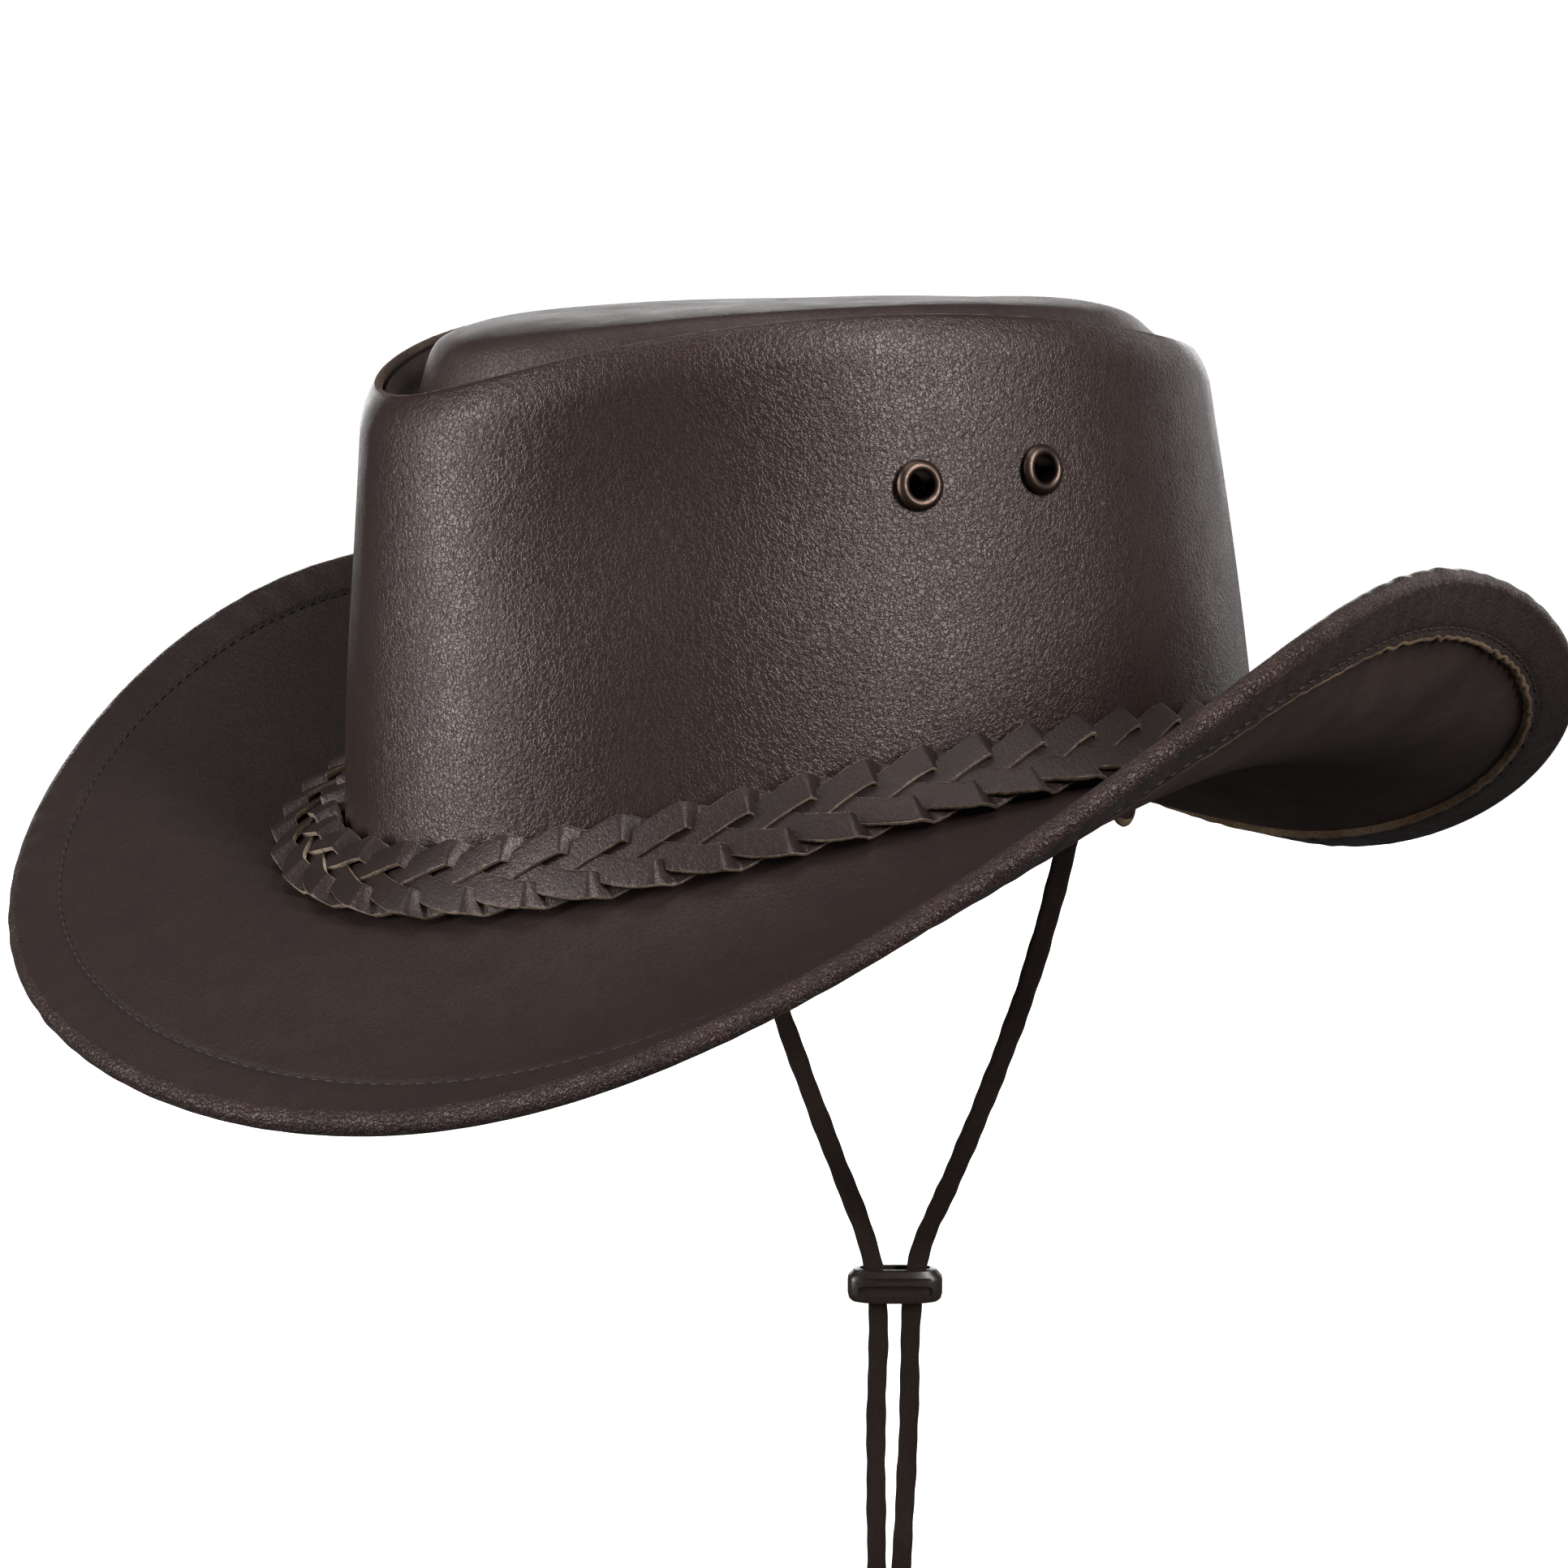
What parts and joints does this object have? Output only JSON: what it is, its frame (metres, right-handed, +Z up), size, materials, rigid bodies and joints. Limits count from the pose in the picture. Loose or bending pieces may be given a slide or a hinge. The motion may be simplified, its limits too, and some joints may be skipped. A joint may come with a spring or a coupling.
{
  "type": "leather bush hat",
  "caption": "Brown leather hat with a raised oval crown, rolled wired brim, plaited leather band, side vents and a chin lace with a slider.",
  "frame": {"origin": "middle of the head opening, on the hat's own level plane at the foot of the crown", "axes": "-Y to the front of the hat, +X to the wearer's left, +Z up for the wearer. The hat is worn tipped forward 7.3 degrees, so its own level plane leans down at the front and the chin lace hangs straight down."},
  "size_m": [0.3073, 0.3434, 0.3356],
  "materials": {
    "crown_leather": "dark brown grained leather with a waxy sheen",
    "brim_leather": "dark brown grained leather above, matte suede below",
    "sweatband_leather": "smooth dark brown leather",
    "plaited_leather": "dark brown straps with pale raw edges",
    "lace_leather": "matte dark brown suede lace",
    "wire": "plain wire",
    "antique_brass": "antique bronze, rolled edges",
    "slider_plastic": "dark brown semi-gloss plastic"
  },
  "bodies": {
    "hat": {"crown_side": "crown_leather", "crown_tip": "crown_leather", "brim": "brim_leather", "brim_wire": "wire", "sweatband": "sweatband_leather", "hatband": "plaited_leather", "hatband_keeper": "plaited_leather", "lace_anchor_left": "lace_leather", "lace_anchor_right": "lace_leather", "vent_eyelet_left_front": "antique_brass", "vent_eyelet_right_front": "antique_brass", "vent_eyelet_left_back": "antique_brass", "vent_eyelet_right_back": "antique_brass", "vent_washer_left_front": "antique_brass", "vent_washer_right_front": "antique_brass", "vent_washer_left_back": "antique_brass", "vent_washer_right_back": "antique_brass"},
    "chin_cord": {"chin_lace_left": "lace_leather", "chin_lace_right": "lace_leather", "lace_end_knot": "lace_leather"},
    "slider": {"chin_slider": "slider_plastic"}
  },
  "joints": [
    {"name": "chin_swing", "type": "hinge", "parent": "hat", "child": "chin_cord", "pos_m": [0, 0.0167, 0.0043], "axis": [1, 0, 0], "range_deg": [-35, 35]},
    {"name": "slider_slide", "type": "slide", "parent": "chin_cord", "child": "slider", "axis": [0, 0, 1], "range_m": [-0.078, 0.06], "deforming": ["chin_lace_left", "chin_lace_right"]}
  ]
}
